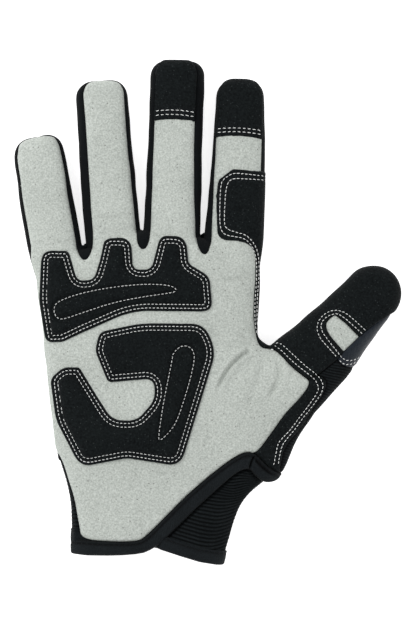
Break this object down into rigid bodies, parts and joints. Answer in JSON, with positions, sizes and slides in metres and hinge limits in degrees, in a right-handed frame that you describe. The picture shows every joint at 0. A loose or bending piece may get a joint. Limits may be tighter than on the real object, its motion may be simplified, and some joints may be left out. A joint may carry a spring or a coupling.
{
  "type": "work glove",
  "caption": "Right-hand work glove in grey synthetic suede, with black padded patches stitched on the palm, reinforced fingertips and thumb, a ribbed elastic cuff and taped hems.",
  "frame": {"origin": "under the middle of the glove's plan, on the surface that it lies on", "axes": "+X to the thumb side, +Y to the fingertips, +Z out of the palm; the glove lies on its back"},
  "size_m": [0.1858, 0.2425, 0.0293],
  "materials": {
    "grey_suede": "matt synthetic suede with a fine mottled nap",
    "black_leather": "matt black synthetic leather with a fine grain and white twin stitching",
    "black_stretch": "matt black stretch cloth",
    "navy_satin": "dark blue-black coated cloth with a soft sheen",
    "ribbed_knit": "black ribbed elastic knit",
    "black_tape": "black folded binding tape, slightly shiny"
  },
  "bodies": {
    "root": {"palm_panel": "grey_suede", "thumb_window": "grey_suede", "back_panel": "black_stretch", "little_side": "black_stretch", "forchette_little_ring": "black_stretch", "forchette_ring_middle": "black_stretch", "forchette_middle_index": "black_stretch", "index_side": "black_stretch", "middle_tip_cap": "black_leather", "index_tip_cap": "black_leather", "index_saddle": "black_leather", "knuckle_pad": "black_leather", "heel_pad": "black_leather", "thumb_front": "black_leather", "thumb_strip": "black_leather", "thumb_side": "navy_satin", "thumb_gusset": "ribbed_knit", "rib_cuff": "ribbed_knit", "palm_binding": "black_tape", "cuff_binding": "black_tape"}
  },
  "joints": []
}
